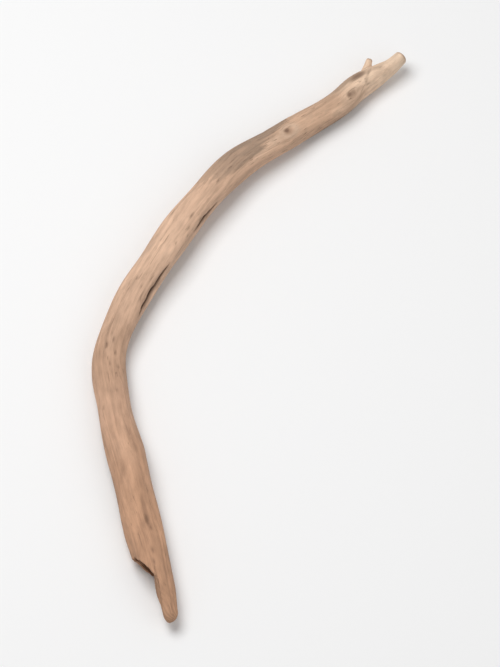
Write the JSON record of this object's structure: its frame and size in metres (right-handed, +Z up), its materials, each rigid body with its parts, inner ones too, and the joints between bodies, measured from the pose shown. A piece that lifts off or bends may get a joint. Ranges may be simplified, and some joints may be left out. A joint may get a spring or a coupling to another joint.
{
  "type": "piece of driftwood",
  "caption": "Bent, bare driftwood branch with a dog-leg bend, a forked twig end and a torn tongue at the other end; lies on a surface as decor or craft material.",
  "frame": {"origin": "on the surface that the piece lies on, under the middle of its box", "axes": "+Z up from that surface, +Y along the piece's length towards the forked twig end, +X to the twig's side"},
  "size_m": [0.1698, 0.3528, 0.0212],
  "materials": {
    "weathered_wood": "bare wood, bleached tan and grey, worn smooth by water and sand, matte"
  },
  "bodies": {
    "root": {"driftwood": "weathered_wood"}
  },
  "joints": []
}
